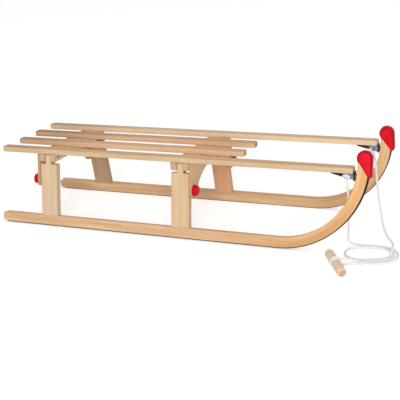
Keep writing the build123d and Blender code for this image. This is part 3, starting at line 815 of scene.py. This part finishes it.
# Screws: countersunk, plated, with a hexagon socket, driven up through the crossbeams into the inner
# slats and through the brackets' flanges into the outer ones.
screw_radius, socket_radius, socket_depth, socket_taper = 0.0036, 0.0015, 0.0018, 0.0001
rim_width, rim_rise = 0.0006, 0.0002
screw_stand = 0.0003  # of the head, below the face that it is screwed into
small_screw = 0.75  # the size of those in the brackets, as a share of the others'
beam_screws_x = (-0.39, 0.0285)
inner_slat_y = sum(span("slat_inner_left", 1)) / 2
beam_underside = span("crossbeam_front", 2)[0]
flange_screws_ahead, flange_screws_aside = (0.010, 0.040), (-0.0075, 0.0075)
screw_places = [(x, y, beam_underside, 1.0) for x in beam_screws_x for y in (-inner_slat_y, inner_slat_y)]
screw_places += [
    (bracket_rear + ahead, side * hinge_y + aside, flange_underside, small_screw)
    for side in (-1, 1) for aside in flange_screws_aside for ahead in flange_screws_ahead
]
to_socket = screw_radius - rim_width - socket_radius
shape = bmesh.new()
for x, y, z, scale in screw_places:
    turned_down = Matrix.Rotation(pi, 4, "X") @ Matrix.Scale(scale, 4)
    place = Matrix.Translation((x, y, z - screw_stand)) @ turned_down
    disc = bmesh.ops.create_circle(shape, cap_ends=True, segments=24, radius=screw_radius, matrix=place)
    head = [disc["verts"][0].link_faces[0]]
    bmesh.ops.inset_individual(shape, faces=head, thickness=rim_width * scale, depth=rim_rise)
    bmesh.ops.inset_individual(shape, faces=head, thickness=to_socket * scale)
    bmesh.ops.inset_individual(shape, faces=head, thickness=socket_taper, depth=-socket_depth * scale)
shown("seat_screws", rounded_mesh("seat_screws", shape), "seat", zinc_steel)

# Red plastic: the caps on the horns and the locking knobs, moulded with a satin skin, with painted shade
# darkening their rounded borders.
bright_red, patchy_red, painted_border_shade = (0.77, 0.009, 0.02, 1), (0.69, 0.007, 0.017, 1), (0.22, 0.002, 0.006, 1)
moulding_depth = 0.00003


def red_material(name, axis):
    """Red plastic whose flat faces look along an axis."""
    material, tree, shader = new_material(name, Specular_IOR_Level=0.1, Subsurface_Weight=0.02)
    patches = noise(tree, object_place(tree), 45.0, 3.0)
    red = tint(tree, "MIX", ramp(tree, patches, 0.35, 0.65), bright_red, patchy_red)
    facing = node(tree, "TexCoord").outputs["Normal"]
    flat = maths(tree, "ABSOLUTE", alignment(tree, facing, axis))
    # Painted shade: the rounded borders and a rim beside the flat faces are darkened
    shaded_border = ramp(tree, flat, 0.99, 0.7)
    rim = product(tree, ramp(tree, flat, 0.995, 0.93), ramp(tree, flat, 0.2, 0.7))
    darker = maths(tree, "MULTIPLY_ADD", rim, 0.42, product(tree, shaded_border, 0.22))
    put(tree, shader.inputs["Base Color"], tint(tree, "MIX", darker, red, painted_border_shade))
    put(tree, shader.inputs["Roughness"], maths(tree, "MULTIPLY_ADD", patches, 0.12, 0.42))
    moulding = noise(tree, object_place(tree), 900.0, 3.0)
    put(tree, shader.inputs["Normal"], bumped(tree, moulding, moulding_depth))
    return material


# Horn caps: thick drops of red plastic pushed over the horns' ends, rounded all round. Each moves
# with its frame, and leans with it.
cap_half_thickness, cap_rounding = 0.0118, 0.0075
rounding_steps = 8
least_flat = 0.0002  # radius that the rounding leaves flat
cap_circles = ((0.53085, 0.04745, 0.02015), (0.5445, 0.00445, 0.006))  # crown and tip: forward, up, radius
for side_name, side in sled_sides:
    upward = Vector((0, -side * sin(lean), cos(lean)))
    outward = Vector((0, side * cos(lean), sin(lean)))
    frame_axes = Matrix((Vector((1, 0, 0)), upward, outward)).transposed().to_4x4()
    shape = bmesh.new()
    for forward, rise, radius in cap_circles:
        rounding = min(cap_rounding, radius - least_flat)
        on_hinge = Matrix.Translation((forward, side * hinge_y, hinge_z)) @ frame_axes
        for face in (-1, 1):
            for step in range(rounding_steps):
                turned = radians(step * 90 / (rounding_steps - 1))
                depth = face * (cap_half_thickness - rounding + rounding * sin(turned))
                place = on_hinge @ Matrix.Translation((0, rise, depth))
                ring_radius = radius - rounding * (1 - cos(turned))
                bmesh.ops.create_circle(shape, segments=64, radius=ring_radius, matrix=place)
    hull = bmesh.ops.convex_hull(shape, input=shape.verts, use_existing_faces=False)
    inside = [part for part in hull["geom_interior"] if isinstance(part, bmesh.types.BMVert)]
    bmesh.ops.delete(shape, geom=inside, context="VERTS")
    bmesh.ops.dissolve_limit(shape, angle_limit=radians(0.5), verts=shape.verts, edges=shape.edges)
    cap_name, cap_red = f"cap_drop_{side_name}", red_material(f"red_cap_{side_name}", outward)
    cap = shown(cap_name, rounded_mesh(cap_name, shape), f"frame_{side_name}", cap_red)
    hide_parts(f"horn_cap_{side_name}")

# Locking knobs: turned heads on a flange, with a groove between them for the fingers, pushed through
# the bridge boards from outside. A spring behind each one keeps its pin in the leg.
knob_y = 0.1403
knob_z = sum(span("knob_front_left", 2)) / 2
board_faces = (  # where each board's outer face is, and which way it looks
    ("rear", span("bridge_board_rear", 0)[0], -1), ("front", span("bridge_board_front", 0)[1], 1),
)
knob_profile = (  # radius and height above the board, in millimetres
    (0, -8), (4.5, -8), (4.5, 0), (15.8, 0), (16, 0.4), (16, 2.2), (15.5, 2.8), (13.6, 3.1), (13.1, 3.5),
    (13.1, 4.1), (13.7, 4.6), (14.3, 5), (14.6, 6), (14.6, 8.6), (14.1, 10.4), (13, 11.5), (11.5, 12),
    (9.6, 12), (8.6, 11.7), (4, 11.5), (0, 11.5),
)
red_knob = red_material("red_knob", (1, 0, 0))
skew = Vector((1, 0.37, 0.21))  # no two points of a knob lie level along it, so it can order them
for place_name, board_x, faces in board_faces:
    for side_name, side in sled_sides:
        shape = bmesh.new()
        centre = Vector((board_x, side * knob_y, knob_z))
        line = [
            shape.verts.new(centre + Vector((faces * height, 0, radius)) / 1000)
            for radius, height in knob_profile
        ]
        rim = line + [shape.edges.new(pair) for pair in zip(line, line[1:])]
        bmesh.ops.spin(shape, geom=rim, cent=centre, axis=(1, 0, 0), angle=tau, steps=56, use_merge=True)
        # The spin gives its points and faces in another order at each run, and sorting gives one.
        shape.verts.sort(key=lambda point: point.co.dot(skew))
        shape.faces.sort(key=lambda face: face.calc_center_median().dot(skew))
        knob_name = f"knob_head_{place_name}_{side_name}"
        knob = shown(knob_name, rounded_mesh(knob_name, shape), "seat", red_knob)
        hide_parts(f"knob_{place_name}_{side_name}")
